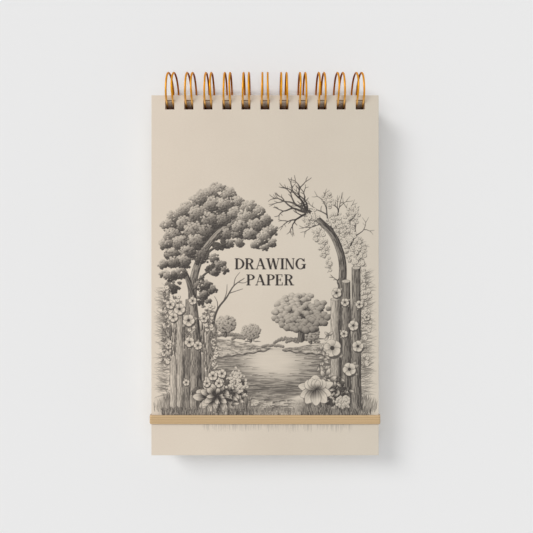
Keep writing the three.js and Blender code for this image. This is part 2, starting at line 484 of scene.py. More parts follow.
class Drawing:
    """How dark the pencil has left the paper, 0 to 1, at a grid of points over the cover.
    x runs from the cover's left edge and y from its foot, in millimetres, and so do widths."""

    def __init__(self, width, height, step, seed):
        self.step = step
        self.columns, self.rows = round(width / step) + 1, round(height / step) + 1
        self.ink = np.zeros((self.rows, self.columns), np.float32)
        self.pick = random.Random(seed)
        self.some = self.pick.uniform
        self.specks = np.random.default_rng(seed).random((97, 101)).astype(np.float32)

    def window(self, x0, y0, x1, y1):
        """The part of the grid in a box, and its points' x and y."""
        left, right = max(int(x0 / self.step), 0), min(int(x1 / self.step) + 2, self.columns)
        low, high = max(int(y0 / self.step), 0), min(int(y1 / self.step) + 2, self.rows)
        right, high = max(right, left), max(high, low)
        xs, ys = np.arange(left, right) * self.step, np.arange(low, high) * self.step
        return (slice(low, high), slice(left, right)), xs[None, :], ys[:, None]

    def around(self, x, y, reach):
        return self.window(x - reach, y - reach, x + reach, y + reach)

    def covered(self, inside):
        """How much of each grid square lies in a shape whose edge is `inside` away."""
        return np.clip(inside / self.step + 0.5, 0, 1)

    def lay(self, box, amount, tone):
        """Covers what is drawn there with a tone, by an amount from 0 to 1."""
        view = self.ink[box]
        view += (tone - view) * amount

    def noise(self, x, y):
        """Smooth noise, 0 to 1, with a feature about every unit of x and y."""
        x, y = np.broadcast_arrays(x, y)
        column, row = np.floor(x).astype(int), np.floor(y).astype(int)
        across, up = fade(x - column, 0, 1), fade(y - row, 0, 1)
        high, wide = self.specks.shape

        def level(r):
            left, right = (self.specks[r % high, c % wide] for c in (column, column + 1))
            return left * (1 - across) + right * across

        return level(row) * (1 - up) + level(row + 1) * up

    def scattered(self, x, y, half_x, half_y, ragged=0.0):
        """A random place in an oval."""
        angle, out = self.some(0, TURN), math.sqrt(self.pick.random())
        if ragged:
            out *= 1 + ragged * self.some(-0.5, 0.5)
        return x + half_x * out * math.cos(angle), y + half_y * out * math.sin(angle)

    def line(self, points, start_width, end_width, tone, amount=1.0):
        """A stroke along points, as wide as it says at each end."""
        last = len(points) - 1
        for i, ((ax, ay), (bx, by)) in enumerate(zip(points, points[1:])):
            wa, wb = (start_width + (end_width - start_width) * k / last for k in (i, i + 1))
            reach = max(wa, wb) / 2 + self.step
            box, x, y = self.window(
                min(ax, bx) - reach, min(ay, by) - reach, max(ax, bx) + reach, max(ay, by) + reach,
            )
            length = max((bx - ax) ** 2 + (by - ay) ** 2, 1e-9)
            t = np.clip(((x - ax) * (bx - ax) + (y - ay) * (by - ay)) / length, 0, 1)
            away = np.hypot(x - ax - t * (bx - ax), y - ay - t * (by - ay))
            width = wa + (wb - wa) * t
            cover = self.covered(width / 2 - away) * np.minimum(1, width / self.step)
            self.lay(box, cover * amount, tone)

    def dash(self, x, y, across, up, start_width, end_width, tone, amount):
        """A straight stroke from x, y."""
        self.line([(x, y), (x + across, y + up)], start_width, end_width, tone, amount)

    def dot(self, x0, y0, radius, tone, amount=1.0):
        box, x, y = self.around(x0, y0, radius + self.step)
        self.lay(box, self.covered(radius - np.hypot(x - x0, y - y0)) * amount, tone)

    def lobe(self, x0, y0, radius, light, dark, squash=1.0, scallop=0.13):
        """One tuft of leaves: scalloped, lit from above on the left, dark below on the right."""
        box, x, y = self.around(x0, y0, radius * 1.3 + self.step)
        dx, dy = x - x0, (y - y0) / squash
        away, angle = np.hypot(dx, dy), np.arctan2(dy, dx)
        phase = self.some(0, TURN)
        edge = radius * (1 + scallop * (np.cos(5 * angle + phase) + 0.5 * np.cos(9 * angle - phase)))
        lit = np.clip(0.5 + 0.55 * (dy * 0.85 - dx * 0.5) / radius, 0, 1)
        rim = fade(away / edge, 0.62, 1.0) * (1 - lit * 0.75)
        tone = dark + (light - dark) * lit**0.8 + rim * 0.28
        self.lay(box, self.covered(edge - away), np.clip(tone, 0, 0.92))

    def clump(self, x0, y0, radius, tuft, light, dark, squash=0.85, ragged=0.25):
        """A rounded mass of tufts. Lower ones lie over higher ones, and it darkens downwards."""
        count = int(2.6 * (radius / tuft) ** 2)
        tufts = [self.scattered(x0, y0, radius, radius * squash, ragged) for _ in range(count)]
        for x, y in sorted(tufts, key=lambda p: -p[1] + self.some(-0.8, 0.8)):
            lit = clamp(0.5 + 0.78 * ((y - y0) / (radius * squash) * 0.85 - (x - x0) / radius * 0.5))
            size = tuft * self.some(0.7, 1.2)
            top = dark + (light - dark) * lit + self.some(-0.07, 0.07)
            self.lobe(x, y, size, max(top - 0.12, 0.0), min(top + 0.36, 0.92), 0.9)

    def petal(self, x0, y0, length, width, degrees, light=0.0, dark=0.4, outline=0.78, bulge=0.75):
        """A petal or leaf from its base at x0, y0, with a dark outline and faint veins.
        A bulge above 1 makes it blunt at the tip, below 1 pointed."""
        ux, uy = math.cos(math.radians(degrees)), math.sin(math.radians(degrees))
        box, x, y = self.around(x0, y0, length + width)
        along, side = (x - x0) * ux + (y - y0) * uy, (y - y0) * ux - (x - x0) * uy
        t = np.clip(along / length, 0, 1)
        half = width / 2 * np.sin(np.pi * t**bulge) ** 0.6
        beyond = np.maximum(np.maximum(-along, along - length), np.abs(side) - half)
        veins = 0.5 + 0.5 * np.cos(side / width * 26)
        depth = np.clip(1 - t * 1.6, 0, 1) + (0.3 * veins + 0.35 * (side < 0)) * (1 - t)
        shade = light + (dark - light) * depth
        rim = np.clip(1.0 + beyond / (self.step * 1.4), 0, 1)
        cover = np.clip(-beyond / self.step + 0.6, 0, 1)
        self.lay(box, cover, np.clip(shade + rim * (outline - shade), 0, 0.95))

    def flower(self, x0, y0, radius):
        turn = self.some(0, 360)
        for k in range(5):
            self.petal(x0, y0, radius, radius * 1.05, turn + 72 * k, 0.0, 0.32, 0.72, 1.45)
        self.dot(x0, y0, radius * 0.24, 0.85)

    def blossom(self, x0, y0, radius):
        """A flower too small for its petals to be told apart: pale flecks over a dark tuft."""
        self.dot(x0 + radius * 0.15, y0 - radius * 0.25, radius * 1.08, 0.66, 0.85)
        turn, out = self.some(0, TURN), radius * 0.58
        for k in range(5):
            a = turn + TURN * k / 5
            self.dot(x0 + out * math.cos(a), y0 + out * math.sin(a), radius * 0.47, 0.0, 0.95)
        self.dot(x0, y0, radius * 0.2, 0.6)

    def trunk(self, points, start_width, end_width, light, dark, lean=0.0):
        """A round limb along points: shaded across, with bark drawn along it."""
        fine = smooth_path(points, 10)
        reach = max(start_width, end_width)
        box, x, y = self.window(*(np.min(fine, axis=0) - reach), *(np.max(fine, axis=0) + reach))
        best = np.full((y.shape[0], x.shape[1]), 1e9, np.float32)
        side, along = np.zeros_like(best), np.zeros_like(best)
        gone = 0.0
        for (ax, ay), (bx, by) in zip(fine, fine[1:]):
            length = math.hypot(bx - ax, by - ay)
            ux, uy = (bx - ax) / length, (by - ay) / length
            t = np.clip((x - ax) * ux + (y - ay) * uy, 0, length)
            away = np.hypot(x - ax - t * ux, y - ay - t * uy)
            nearer = away < best
            best = np.where(nearer, away, best)
            side = np.where(nearer, (x - ax) * uy - (y - ay) * ux, side)
            along = np.where(nearer, gone + t, along)
            gone += length
        past = (x - bx) * ux + (y - by) * uy
        half = (start_width + (end_width - start_width) * along / gone) / 2
        across = np.clip(side / half, -1.2, 1.2)
        bark = self.noise(across * half * 2.6 + 40, along * 0.22) * 0.6
        bark += self.noise(across * half * 5.5 + 11, along * 0.55 + 7) * 0.4
        shade = np.clip(0.5 + 0.5 * across + lean, 0, 1) ** 1.5
        tone = light + (dark - light) * (0.66 * shade + 0.46 * fade(bark, 0.40, 0.64))
        tone += 0.35 * fade(np.abs(across), 0.8, 1.0)
        self.lay(box, self.covered(half - best) * self.covered(-past), np.clip(tone, 0, 0.92))

    def post(self, points, start_width, end_width, light, dark):
        """A trunk with its cut top and year rings, seen a little from above."""
        self.trunk(points, start_width, end_width, light, dark)
        (x0, y0), radius = points[-1], end_width / 2
        box, x, y = self.around(x0, y0, radius + 1)
        away = np.hypot(x - x0, (y - y0) * 2.6)
        tone = 0.05 + 0.2 * (0.5 + 0.5 * np.cos(away * 5.2)) + 0.6 * fade(away / radius, 0.82, 1)
        self.lay(box, self.covered(radius - away), np.clip(tone, 0, 0.85))

    def twig(self, x, y, degrees, length, width, depth, tone):
        """A bare branch that forks until depth runs out."""
        points, steps = [(x, y)], 5
        for _ in range(steps):
            degrees += self.some(-14, 14)
            x += length / steps * math.cos(math.radians(degrees))
            y += length / steps * math.sin(math.radians(degrees))
            points.append((x, y))
        self.line(points, width, width * 0.62, tone)
        if depth == 0:
            return
        for side in (-1, 1):
            way = degrees + side * self.some(10, 34)
            self.twig(x, y, way, length * self.some(0.6, 0.82), width * 0.6, depth - 1, tone)
        if self.pick.random() < 0.6:
            middle = points[self.pick.randint(2, 4)]
            way = degrees + self.pick.choice((-1, 1)) * self.some(35, 60)
            self.twig(*middle, way, length * 0.5, width * 0.5, max(depth - 2, 0), tone)

    def grass(self, left, right, foot, height, count, tones, lean=0.35):
        """Blades from the foot line up."""
        for _ in range(count):
            x = self.some(left, right)
            y = foot + self.some(0, 1) ** 1.5 * height * 0.6
            tall = height * self.some(0.35, 0.8)
            bend = self.some(-lean, lean) * tall
            points = [(x + bend * t * t, y + tall * t) for t in (0, 0.35, 0.7, 1)]
            self.line(points, self.some(0.3, 0.55), 0.12, self.some(*tones))


def draw_pond(d):
    """Water with the sky's glow in the middle, between two low banks."""
    some = d.some

    def from_glow(x, y):
        return np.hypot((x - 81) / 23, (y - 63) / 14)

    def shore(x):
        return 35 + 0.012 * (x - 79) ** 2

    box, x, y = d.window(38, 28, 126, 80)
    inside = fade(y, shore(x) - 1, shore(x) + 2) * (1 - fade(y, 71.5, 72))
    inside = inside * fade(x, 39, 43) * (1 - fade(x, 121, 125))
    ripple = d.noise(x * 0.10 + 0.6 * np.sin(y * 0.8), y * 1.5) * 0.6
    ripple += d.noise(x * 0.25, y * 3.1 + 31) * 0.4
    depth = 0.02 + 0.46 * fade(from_glow(x, y), 0.25, 1.5)
    depth = depth + 0.16 * fade(58 - y, 0, 16) - 0.24 * fade(47 - y, 0, 9)
    d.lay(box, inside, depth * (0.6 + 0.6 * fade(ripple, 0.36, 0.66)))
    for _ in range(1100):
        px, py = some(42, 122), some(36, 70)
        if from_glow(px, py) < some(0.55, 1.5) or py < shore(px) + 0.5:
            continue
        long = some(1.5, 6.5)
        wavelet = [(px, py), (px + long / 2, py + some(-0.12, 0.12)), (px + long, py)]
        d.line(wavelet, 0.34, 0.15, some(0.5, 0.85), 0.75)

    # the banks: grassy slopes that meet in the distance, dark along the waterline
    for left, right, outer, inner, under, mirrored in (
        (38, 79.5, 79, 71, 64.8, False), (87, 126, 76, 70.5, 66, True),
    ):
        box, x, y = d.window(left - 1, 62, right + 1, 82)
        t = np.clip((x - left) / (right - left), 0, 1)
        t = 1 - t if mirrored else t
        top = inner + (outer - inner) * (1 - t) ** 0.8 + 0.35 * np.sin(x * 0.5)
        foot = inner - 0.6 + (under - inner) * (1 - t) ** 0.7 + 0.35 * np.sin(x * 0.9)
        shape = (1 - fade(y, top - 0.2, top + 0.1)) * fade(y, foot - 0.1, foot + 0.2)
        turf = d.noise(x * 0.35, (y - top * 0.7) * 2.2 + 3) * 0.6 + d.noise(x * 1.1, y * 3.0) * 0.4
        tone = 0.10 + 0.42 * fade(turf, 0.42, 0.75) + 0.6 * (1 - fade(y - foot, 0.1, 1.6))
        tone += 0.3 * (1 - fade(top - y, 0.1, 0.5))
        d.lay(box, shape * (x > left) * (x < right), np.clip(tone, 0, 0.85))
        for _ in range(110):
            s = d.pick.random()
            px = left + (right - left) * ((1 - s) if mirrored else s)
            py = inner + some(0.05, 0.95) * (outer - inner) * (1 - s) ** 0.8
            py -= d.pick.random() * 3.5 * (1 - s)
            fall = 0.4 if mirrored else -0.4
            d.dash(px, py, some(1.5, 4), fall, 0.3, 0.12, some(0.45, 0.75), 0.75)
    # low hedges on the banks and hills beyond
    for x0, x1, y0, rise in (
        (40, 64, 79, 2.2), (54, 62, 77.6, 1.5), (82, 98, 75, 3.8), (90, 112, 75.5, 3),
        (74, 88, 72.4, 1.4),
    ):
        t = 0.0
        while t < 1:
            py = y0 + rise * math.sin(math.pi * t) ** 0.8 * some(0.4, 1)
            d.lobe(x0 + (x1 - x0) * t, py, 0.9, 0.3, 0.72)
            t += 0.6 / (x1 - x0)


def draw_round_tree(d, x, y, radius, stem, tuft, wide=1.0, tall=0.9):
    """A round-headed tree beyond the pond, on a short stem, with its shadow on the grass."""
    foot = y - radius * tall * 0.75 - stem
    fork = foot + stem * 0.6
    for _ in range(14):
        px = x + d.some(-0.7, 0.9) * radius
        shadow = [(px, foot + d.some(-0.5, 0.3)), (px + radius * 0.4, foot - 0.3)]
        d.line(shadow, 0.5, 0.2, 0.65, 0.8)
    d.trunk([(x - 0.2, foot - 0.2), (x, fork), (x - 0.3, y)], radius * 0.34, radius * 0.2, 0.5, 0.92)
    for way in (-1, 1):
        d.line([(x, fork), (x + way * radius * 0.5, y - radius * 0.3)], radius * 0.12, 0.3, 0.88)
    d.dot(x, y, radius * 0.6, 0.78)
    d.clump(x, y, radius * 0.9, tuft, 0.6, 0.85, tall / wide * 0.9)
    half_x, half_y = radius * wide, radius * tall
    count = int(4.2 * (radius / tuft) ** 2 * wide)
    balls = [d.scattered(x, y, half_x, half_y) for _ in range(count)]
    for px, py in sorted(balls, key=lambda p: -p[1]):
        lit = clamp(0.66 + 0.5 * (py - y) / half_y - 0.3 * (px - x) / half_x)
        d.lobe(px, py, tuft * d.some(0.7, 1.1), 0.30 - 0.30 * lit, 0.92 - 0.24 * lit, 0.86, 0.05)


def draw_ground(d):
    """Grass along the foot of the drawing and the end of a worn path."""
    some = d.some
    box, x, y = d.window(0, 17, COVER_WIDTH, 46)
    turf = 36 + 2.0 * np.sin(x * 0.07 + 1.2) + 5 * fade(np.abs(x - 80), 24, 44)
    turf -= 4.0 * fade(np.abs(x - 76), 60, 76)
    path = np.exp(-(((x - 84 + (y - 30) * 0.3) / 17) ** 4))
    mottle = d.noise(x * 1.1, y * 1.3) * 0.5 + d.noise(x * 2.9, y * 1.6) * 0.5
    amount = (1 - fade(y, turf - 4, turf + 1)) * fade(y, 19, 27)
    amount = amount * fade(x, 1, 16) * (1 - fade(x, 138, 151))
    d.lay(box, amount, (0.18 + 0.55 * mottle) * (1 - 0.72 * path))
    for left, right, foot, height, count, tones in (
        (9, 66, 33, 9, 220, (0.35, 0.85)), (104, 144, 33, 9, 160, (0.35, 0.85)),
        (8, 66, 30, 9, 620, (0.25, 0.95)), (102, 146, 30, 9, 560, (0.25, 0.95)),
        (2, 12, 29, 9, 80, (0.15, 0.5)), (141, 150, 29, 9, 80, (0.15, 0.5)),
        (64, 104, 29, 3.6, 170, (0.2, 0.6)),
    ):
        d.grass(left, right, foot, height, count, tones)
    for _ in range(520):
        px, top = some(34, 134), 26 - some(0, 2.5)
        d.dash(px, top, some(-0.7, 0.7), -some(2, 9), 0.6, 0.2, 0.2, 0.5)
    for _ in range(90):
        px, py = some(64, 92), some(28, 37)
        long = some(2, 6)
        rut = [(px, py), (px + long / 2, py + 0.3), (px + long, py)]
        d.line(rut, 0.5, 0.2, some(0.5, 0.9), 0.8)


def draw_wood_behind(d, left, right, foot, top):
    """The dark of the wood between the trunks, in upright strokes."""
    for _ in range(int((right - left) * (top - foot) / 1.4)):
        x, y = d.some(left, right), d.some(foot, top)
        d.dash(x, y, d.some(-0.4, 0.4), d.some(3, 7), 0.5, 0.2, d.some(0.6, 0.95), 0.75)


def draw_edge_brush(d, x, foot, top, out, count):
    """Short spiky strokes that fringe the wood towards the cover's edge."""
    for _ in range(count):
        px, py = x + d.some(-0.2, 0.9) * out * 0.5, d.some(foot, top)
        rise, long = d.some(-2.5, 4), out * d.some(0.4, 1.0)
        spike = [(px, py), (px + long * 0.6, py + rise * 0.4), (px + long, py + rise)]
        d.line(spike, 0.36, 0.14, d.some(0.35, 0.7), 0.7)


def draw_left_trunks(d):
    """Posts, a wound stem and a bare branch that reaches in under the title."""
    draw_edge_brush(d, 12, 40, 112, -8, 330)
    draw_wood_behind(d, 12, 44, 36, 84)
    draw_wood_behind(d, 14, 30, 80, 96)
    d.trunk([(14.5, 34), (14.7, 50), (14.4, 66)], 4.6, 4.4, 0.02, 0.5)
    d.trunk([(19, 34), (19.2, 66), (18.6, 103)], 4.2, 3.6, 0.06, 0.62)
    d.trunk([(25, 34), (24.8, 66), (25.2, 104)], 6.2, 4.8, 0.34, 0.9)
    for phase in (0, 2.1, 4.2):
        wound = [(40.3 + 2.2 * math.sin(y * 0.17 + phase), y) for y in range(48, 98, 2)]
        d.trunk(wound, 2.6, 1.6, 0.2, 0.9)
    d.post([(32, 34), (32, 50), (31.8, 68)], 7.2, 6.4, 0.02, 0.55)
    for thick, thin, *points in (
        (1.6, 0.4, (40, 84), (44, 97), (50, 105), (55, 113), (62, 118)),
        (0.6, 0.2, (48, 102.5), (50, 108), (50.5, 114)),
        (0.5, 0.2, (52, 108), (58, 110), (61, 111)),
        (0.5, 0.2, (55, 113), (56, 118), (59, 122)),
        (0.6, 0.2, (44, 97), (44, 102), (42, 106)),
        (0.45, 0.2, (58, 115.3), (62, 115), (66, 117)),
    ):
        d.line(smooth_path(points, 6), thick, thin, 0.78)


LEFT_TREE = (
    (29.5, 34), (29.6, 60), (29, 85), (27.5, 103), (28.2, 117), (32, 130), (38.5, 141), (47, 150),
    (58, 157),
)
LEAF_MASSES = (
    (44, 176.5, 5.6), (52, 174, 5), (36, 173, 5.6), (29.5, 169, 5.4), (57.5, 168.5, 4.6),
    (24, 164, 5.6), (41, 167.5, 5.6), (49, 167, 5.4), (66, 165.5, 5.2), (71.5, 162, 4.2),
    (16, 159.5, 5.2), (31, 161, 6.2), (56.5, 161.5, 5.2), (75.5, 156.5, 4.8), (63, 158, 5.6),
    (11, 153.5, 4.6), (22, 154.5, 5.6), (39, 157.5, 5.6), (48, 157, 4.8), (69.5, 153, 5.8),
    (79.5, 149.5, 4.4), (14, 146.5, 5.6), (28, 149.5, 6.6), (36.5, 149.5, 4.6), (59, 152, 5),
    (66, 147, 4.8), (75, 145, 4.6), (80.5, 141.5, 3.2), (9.5, 140.5, 4.4), (19, 141.5, 5.6),
    (29, 142, 5.8), (50.5, 147.5, 4), (53, 141.5, 3), (59, 141.5, 3.2), (70, 140.5, 3.4),
    (76, 138.5, 2.8), (14, 134.5, 4.4), (24, 135.5, 5.2), (8, 127, 3.4), (14.5, 128.5, 4.4),
    (21.5, 129, 5.2), (7.5, 120.5, 2.6), (12.5, 120, 4.2), (19, 121.5, 4.6), (42, 131, 3.2),
    (46, 126.5, 3.8), (49, 123.5, 2.4), (42.5, 122, 3), (37.5, 114, 3), (41.5, 110.5, 3.2),
    (35.5, 107, 2.8), (38, 102.5, 2), (33.5, 118.5, 1.8), (56, 146.5, 2.6),
)


def draw_left_tree(d):
    """The leafy tree that arches in from the left."""
    for x, y, radius in (
        (29, 150, 15), (46, 158, 12), (19, 133, 9), (63, 153, 10), (47, 142, 6), (41, 125, 4),
        (38, 110, 3.6),
    ):
        d.clump(x, y, radius, 1.5, 0.66, 0.88, 0.9)
    d.trunk(LEFT_TREE, 8.6, 3.2, 0.16, 0.94, lean=0.08)
    d.trunk([(27.5, 104), (25.5, 114), (21, 125), (15, 134)], 4.6, 1.6, 0.45, 0.95)
    d.trunk([(34.5, 132), (40, 137), (47, 140.5), (54, 142)], 2.0, 0.9, 0.6, 0.95)
    d.trunk([(31, 116), (36, 121), (42, 125)], 1.8, 0.8, 0.6, 0.95)
    for x, y, radius in ((33, 132.5, 5.2), (33.5, 113, 4.2), (33, 104, 3.8), (14.5, 113, 4.4)):
        d.clump(x, y, radius, 1.0, 0.45, 0.92, 1.0, 0.4)
    for x, y, radius in sorted(LEAF_MASSES, key=lambda m: -m[1]):
        high = clamp((y - 118) / 58)
        shaded = 0.16 if 31 < x < 62 and y < 160 and radius < 5 else 0.0
        d.clump(x, y, radius, 0.9, 0.12 - 0.06 * high + shaded, 0.92 - 0.24 * high, 0.85, 0.3)


RIGHT_TREE = (
    (123, 34), (123.6, 70), (125.5, 98), (127.4, 116), (127, 131), (121.8, 145.5), (113.5, 155),
    (104, 162.5),
)


def draw_right_tree(d):
    """The blossoming tree that leans in from the right, bare at its tips, behind three posts."""
    some = d.some
    for x, y, way, long, wide, depth in (
        (104, 162, 170, 10, 1.9, 3), (104, 163, 148, 10, 1.8, 3), (104, 163, 120, 9.5, 1.8, 3),
        (104, 161, 194, 8.5, 1.6, 3), (104, 163, 98, 7.5, 1.4, 3), (121, 150, 106, 11, 1.3, 3),
        (124, 148, 84, 10, 1.2, 3), (128, 146, 64, 10, 1.2, 3), (132, 138, 78, 9, 1.1, 3),
        (135, 126, 78, 7.5, 1.0, 3), (112, 154, 190, 6, 0.9, 2), (126, 112, 150, 5, 1.0, 2),
    ):
        d.twig(x, y, way, long, wide, depth, some(0.78, 0.94))
    draw_edge_brush(d, 139, 40, 122, 8.5, 420)
    for x0, y0, out_x, out_y, count in (
        (129, 148, 8, 8, 150), (136, 137, 7, 9, 130), (139, 124, 4.5, 9, 80), (123, 157, 6, 5, 55),
        (117, 170, 5, 5, 26), (134, 160, 5, 6, 40), (111, 147, 4, 5, 50), (115, 138, 3.4, 6, 55),
        (118, 127, 1.8, 6, 24), (106, 157, 5, 4.5, 60), (142, 108, 4, 9, 60),
        (143, 88, 3.5, 10, 50), (142, 66, 3, 8, 30),
    ):
        for _ in range(count):
            x, y = d.scattered(x0, y0, out_x, out_y)
            if d.pick.random() < 0.5:
                d.blossom(x, y, some(0.8, 1.3))
            else:
                d.dash(x, y, some(-1.6, 1.6), some(-1.4, 1.8), 0.4, 0.15, some(0.5, 0.85), 0.85)
    d.trunk(RIGHT_TREE, 7.6, 3.8, 0.28, 1.0, lean=0.12)
    draw_wood_behind(d, 124, 140, 36, 96)
    d.post([(122.3, 34), (122.4, 70), (122.2, 104)], 6.0, 5.6, 0.02, 0.62)
    d.post([(129.8, 34), (129.8, 76), (129.6, 116)], 6.6, 6.0, 0.3, 0.95)
    d.post([(136.6, 34), (136.6, 80), (136.4, 125)], 6.4, 5.8, 0.28, 0.93)
    for _ in range(26):
        d.blossom(d.pick.gauss(106, 2.4), d.pick.gauss(158.5, 2.0), some(1.0, 1.5))


FLOWERS_ON_THE_TRUNKS = (
    (18.7, 97.5, 3.9), (24.8, 90, 4.1), (12.6, 100.5, 3), (14.6, 92, 3.2), (27.5, 103, 2.7),
    (25.4, 75.5, 3.4), (31, 73.2, 2.9), (35, 91, 2.6), (23.2, 48.5, 2.3), (11.5, 73, 2.2),
    (123.4, 108.3, 3.4), (129, 102, 2.8), (138.6, 100.6, 2.7), (134.6, 86.5, 3.5), (128.4, 81, 2.6),
    (120.6, 71.5, 6), (137.6, 72.7, 3.9), (132, 57.4, 4.5), (143.5, 92, 2.3),
)


def draw_climbers(d):
    """Flowers and leaves that climb the trunks on both sides."""
    some = d.some
    for x0, foot, top, sway in (
        (10, 60, 112, 2.4), (15.5, 96, 106, 4.5), (38, 84, 100, 3), (42, 52, 82, 1.4),
        (26, 80, 88, 3),
    ):
        y = foot
        while y < top:
            x = x0 + some(-sway, sway)
            if d.pick.random() < 0.4:
                d.blossom(x, y, some(1.0, 1.4))
            else:
                for _ in range(4):
                    d.petal(x, y, some(1.4, 2.0), 0.9, some(0, 360), 0.1, 0.6, 0.85)
            y += some(0.35, 0.8)
    for x, y, r in FLOWERS_ON_THE_TRUNKS:
        for _ in range(3):
            d.petal(x, y, r * 1.5, r * 0.8, some(0, 360), 0.25, 0.7, 0.88)
        d.dot(x + r * 0.12, y - r * 0.22, r, 0.8, 0.8)
        d.flower(x, y, r)
    for x, y in ((115.5, 66), (112.5, 60), (116, 57), (113.5, 70), (118, 80), (114.5, 63)):
        for _ in range(5):
            d.petal(x, y, some(3, 4.4), 2.0, some(0, 360), 0.02, 0.5, 0.85)


def draw_left_bush(d):
    """A leafy bush with small flowers, on the left of the path."""
    some, gauss = d.some, d.pick.gauss
    for x, y, radius in ((44, 42, 12), (36, 40, 8), (54, 44, 8)):
        d.clump(x, y, radius, 1.6, 0.72, 0.92, 0.75)
    for count, out, size in ((11, 12.0, 9.0), (9, 8.0, 8.6), (7, 4.5, 7.6), (4, 1.5, 6.2)):
        for k in range(count):
            angle = 360 * k / count + some(-14, 14)
            x = 43.5 + out * 0.62 * math.cos(math.radians(angle))
            y = 39.5 + out * 0.5 * math.sin(math.radians(angle))
            length, width = size * some(0.74, 1.0), size * some(0.46, 0.60)
            d.petal(x, y, length, width, angle + some(-26, 26), 0.04, 0.8, 0.95, some(0.85, 1.25))
    for x, y, r in (
        (41, 53, 3.2), (47, 54.5, 3), (52, 50, 2.6), (37, 48, 2.6), (57, 51, 2.4), (45, 48, 2.8),
        (60, 46, 2.2),
    ):
        d.dot(x + 0.3, y - 0.6, r * 1.05, 0.82, 0.85)
        d.flower(x, y, r)
    d.clump(56, 46, 7, 1.2, 0.72, 0.92)
    for _ in range(34):
        d.petal(gauss(54, 3.6), gauss(42, 4.4), some(4, 6.2), 2.6, some(-80, 150), 0.03, 0.8, 0.95)
    for _ in range(60):
        d.blossom(gauss(57, 3.0), gauss(50, 3.2), some(0.6, 1.0))


def draw_right_bloom(d):
    """A broad blossom among leaves, on the right of the path."""
    some, gauss = d.some, d.pick.gauss
    d.clump(110, 43, 9, 1.6, 0.72, 0.92, 0.7)
    d.clump(121, 43, 8.5, 1.3, 0.6, 0.92, 1.15)
    for _ in range(26):
        d.petal(gauss(122, 3.6), gauss(43, 4.6), some(3.4, 5), 2.2, some(0, 360), 0.06, 0.85, 0.95)
    for x, y, light, dark, bulge, petals in (
        (109.5, 44, 0.0, 0.66, 1.0, (
            (168, 12, 6.4), (20, 12.5, 6), (205, 11.5, 6.6), (340, 11, 6.4), (235, 11.5, 7.4),
            (308, 11.5, 7.4), (272, 11, 7.2),
        )),
        (109.5, 43.6, 0.0, 0.66, 1.3, (
            (140, 9, 7), (46, 9, 7), (92, 10, 7.6), (118, 8.4, 6), (66, 8, 5.6),
        )),
        (109.8, 44, 0.02, 0.7, 1.3, ((100, 6.6, 5.4), (74, 6.2, 4))),
    ):
        for degrees, long, wide in petals:
            d.petal(x, y, long, wide, degrees, light, dark, 0.88, bulge)
    for x, y, degrees in ((117, 53, 70), (115, 52, 110), (119, 50, 30)):
        d.petal(x, y, 5.2, 3.0, degrees, 0.0, 0.55, 0.88, 0.9)
    d.dot(128, 34.6, 5.2, 0.8, 0.85)
    for _ in range(90):
        d.blossom(*d.scattered(128, 35.4, 5.0, 4.2), 0.8)


# -- Lettering ------------------------------------------------------------------------------------
TITLE_TONE = 0.97
STEM, HAIR, SERIF = 0.2, 0.062, 0.085  # of the capitals' height


class Capital:
    """Strokes of one capital, in its own height, from its foot on the left at x, y."""

    def __init__(self, d, x, y, height):
        self.d, self.x, self.y, self.height = d, x, y, height

    def fill(self, left, foot, right, top, inside):
        """Inks what lies in a shape, whose inside(x, y) is above 0, and in a frame round it."""
        h = self.height
        low, high = self.y + foot * h - 1, self.y + top * h + 1
        box, x, y = self.d.window(self.x + left * h - 1, low, self.x + right * h + 1, high)
        depth = inside((x - self.x) / h, (y - self.y) / h) * h
        self.d.lay(box, self.d.covered(depth), TITLE_TONE)

    def bar(self, left, foot, right, top):
        def inside(x, y):
            return np.minimum(np.minimum(x - left, right - x), np.minimum(y - foot, top - y))

        self.fill(left, foot, right, top, inside)

    def foot(self, at, width, level=0.0):
        """A serif on a stroke's end, at the foot or, with a level of 1, the top."""
        low = level - HAIR * (level > 0)
        self.bar(at - SERIF, low, at + width + SERIF, low + HAIR)

    def upright(self, at, width=STEM):
        self.bar(at, 0, at + width, 1)
        self.foot(at, width)
        self.foot(at, width, 1)

    def slant(self, ax, ay, bx, by, width):
        """A stroke whose ends are cut level, `width` across."""
        low, high = min(ay, by), max(ay, by)

        def inside(x, y):
            middle = ax + (bx - ax) * (y - ay) / (by - ay)
            return np.minimum(width / 2 - np.abs(x - middle), np.minimum(y - low, high - y))

        self.fill(min(ax, bx) - width, low, max(ax, bx) + width, high, inside)

    def bowl(self, x0, y0, half_x, half_y, thin, keep):
        """An oval stroke, thick at its sides and thin above and below, where keep(x, y) holds."""
        def inside(x, y):
            outer = np.hypot((x - x0) / half_x, (y - y0) / half_y)
            inner = np.hypot((x - x0) / (half_x - STEM), (y - y0) / (half_y - thin))
            depth = np.minimum((1 - outer) * half_y, (inner - 1) * (half_y - thin))
            return np.where(keep(x, y), depth, -1)

        self.fill(x0 - half_x, y0 - half_y, x0 + half_x, y0 + half_y, inside)


def right_of_stem(x, y):
    return x > SERIF + 0.5 * STEM


def open_to_the_right(x, y):
    return ~((x > 0.6) & (y > 0.42) & (y < 0.74))


P_STROKES = [
    ("upright", SERIF),
    ("bowl", SERIF + 1.3 * STEM, 0.74, 0.42, 0.26, HAIR, right_of_stem),
    ("bar", SERIF + STEM, 0.48, SERIF + 1.4 * STEM, 0.48 + HAIR),
    ("bar", SERIF + STEM, 1 - HAIR, SERIF + 1.4 * STEM, 1),
]
